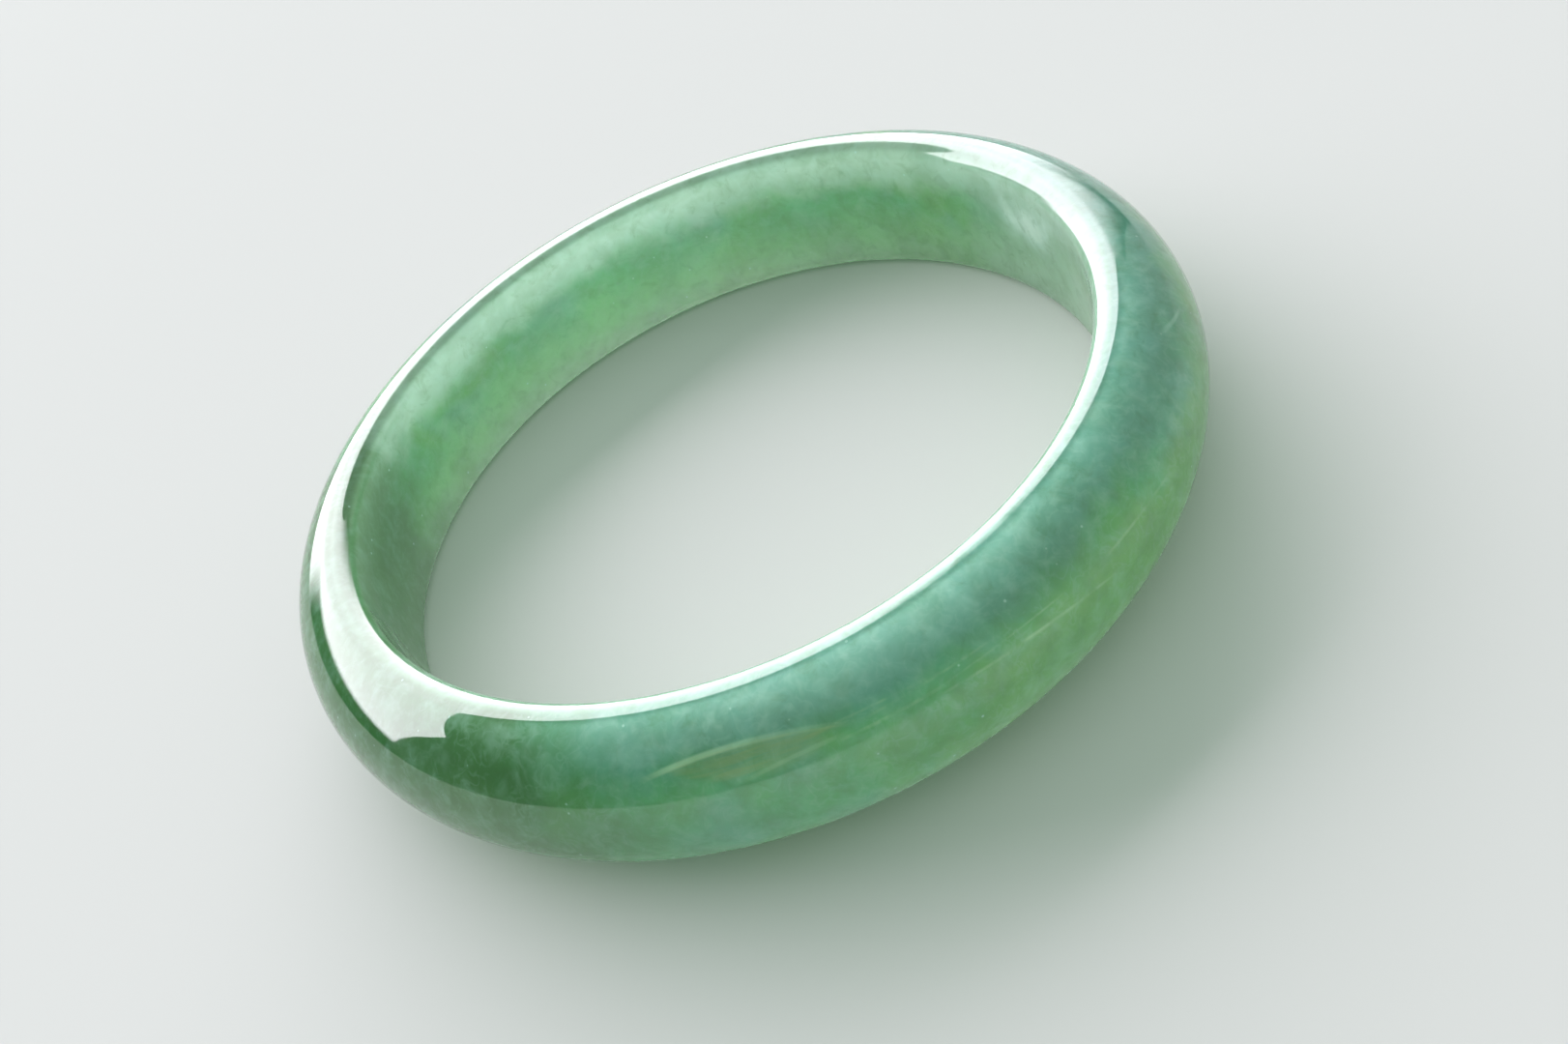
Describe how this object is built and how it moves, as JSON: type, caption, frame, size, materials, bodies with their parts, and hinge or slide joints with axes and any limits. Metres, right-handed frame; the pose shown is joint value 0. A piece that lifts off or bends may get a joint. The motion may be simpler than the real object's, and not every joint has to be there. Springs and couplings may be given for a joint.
{
  "type": "bangle bracelet",
  "caption": "Solid one-piece stone bangle: closed ring with a straight inner wall, rounded rims and a domed, polished outer face; the hand slides through the opening.",
  "frame": {"origin": "centre of the ring's lowest plane, the plane of the lower rim that it rests on", "axes": "+Z along the ring's axis, up out of the resting surface; the ring is round, so X and Y are interchangeable in shape, and -Y is the side with the deepest green"},
  "size_m": [0.0692, 0.0692, 0.012],
  "materials": {
    "jade": "glassy polish on mottled, slightly translucent green jadeite"
  },
  "bodies": {
    "root": {"jade_ring": "jade"}
  },
  "joints": []
}
